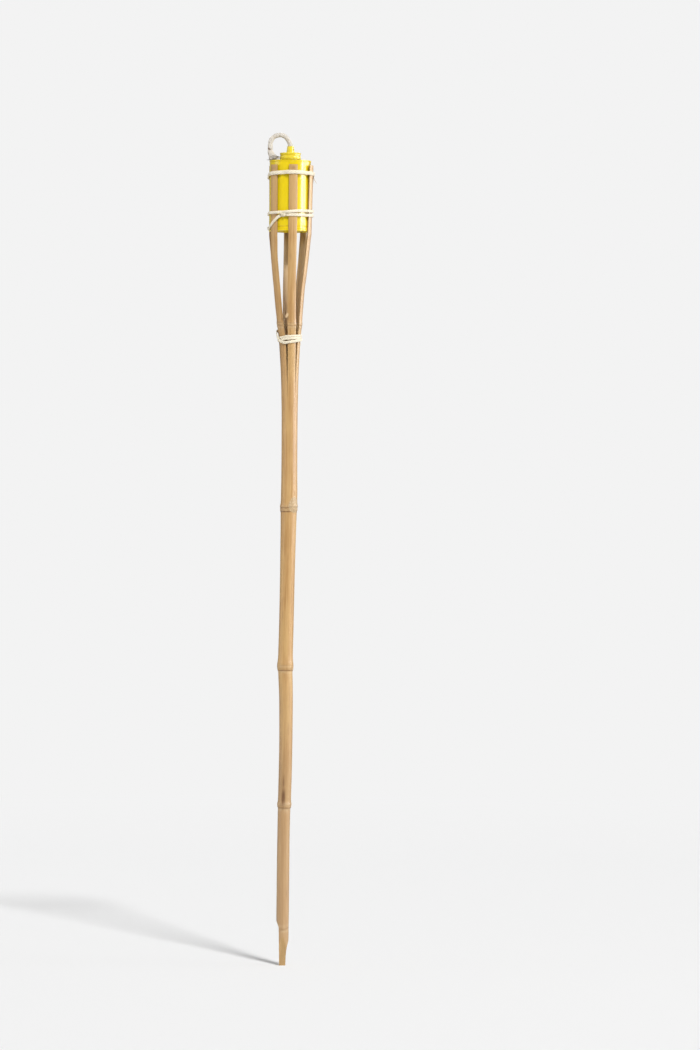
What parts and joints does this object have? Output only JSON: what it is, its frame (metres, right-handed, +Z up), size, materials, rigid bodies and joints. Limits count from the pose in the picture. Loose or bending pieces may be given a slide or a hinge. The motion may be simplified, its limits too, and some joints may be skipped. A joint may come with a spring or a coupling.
{
  "type": "tiki torch",
  "caption": "Bamboo garden torch: a culm whose top is split into a splint cage, tied with cotton cord round a lift-out yellow oil can with a screw-on wick burner.",
  "frame": {"origin": "middle of the flat end of the whittled tip", "axes": "+Z up along the torch to the burner, -Y the front, +X to the right seen from the front"},
  "size_m": [0.07, 0.0748, 1.2154],
  "materials": {
    "bamboo": "dry natural bamboo, satin rind",
    "cotton_cord": "soft spun cotton",
    "yellow_paint": "gloss enamel on tinplate",
    "gasket_rubber": "matt",
    "wick_cotton": "soft braided cotton"
  },
  "bodies": {
    "pole": {"culm": "bamboo", "front_splint": "bamboo", "right_splint": "bamboo", "rear_right_splint": "bamboo", "rear_splint": "bamboo", "rear_left_splint": "bamboo", "left_splint": "bamboo", "lower_tie": "cotton_cord", "middle_tie": "cotton_cord", "upper_tie": "cotton_cord"},
    "canister": {"can_body": "yellow_paint", "can_bottom": "yellow_paint", "can_top": "yellow_paint", "filler_neck": "yellow_paint"},
    "cap_seal": {"cap_gasket": "gasket_rubber"},
    "burner": {"burner_cap": "yellow_paint", "wick_tube": "yellow_paint", "wick_stem": "wick_cotton", "wick_loop": "wick_cotton"}
  },
  "joints": [
    {"name": "canister_lift", "type": "slide", "parent": "pole", "child": "canister", "axis": [0, 0, 1], "range_m": [0, 0.105]},
    {"name": "burner_lift", "type": "slide", "parent": "canister", "child": "cap_seal", "axis": [0, 0, 1], "range_m": [0, 0.0075]},
    {"name": "burner_turn", "type": "hinge", "parent": "cap_seal", "child": "burner", "pos_m": [0, 0, 1.18], "axis": [0, 0, 1], "range_deg": [0, 1080]}
  ],
  "couplings": [
    {"joint": "burner_lift", "follows": "burner_turn", "m_per_rad": 0.00039785}
  ]
}
